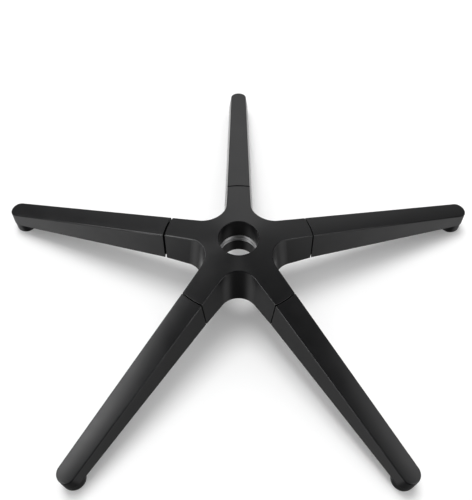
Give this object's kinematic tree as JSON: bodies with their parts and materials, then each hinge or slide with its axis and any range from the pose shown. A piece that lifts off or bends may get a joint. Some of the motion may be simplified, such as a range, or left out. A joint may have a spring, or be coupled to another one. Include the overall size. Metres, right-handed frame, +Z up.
{
  "type": "office chair five star base",
  "caption": "Star base of an office chair: a cast hub with a gas lift bore and sloping hollow arms bolted on from below, each ending in a boss with a caster socket.",
  "frame": {"origin": "on the hub's axis, halfway up the land of the bush that holds the gas lift", "axes": "+Z up along the bore, +Y along the back arm"},
  "size_m": [0.6683, 0.636, 0.1152],
  "materials": {
    "coated_casting": "satin black powder coat on cast aluminium",
    "bush_steel": "turned bare steel",
    "fastener_steel": "zinc plated steel"
  },
  "bodies": {
    "root": {"hub": "coated_casting", "gas_lift_bush": "bush_steel", "arm_back": "coated_casting", "arm_left": "coated_casting", "arm_front_left": "coated_casting", "arm_front_right": "coated_casting", "arm_right": "coated_casting", "flat_washers": "fastener_steel", "lock_washers": "fastener_steel", "arm_screws": "fastener_steel"}
  },
  "joints": []
}
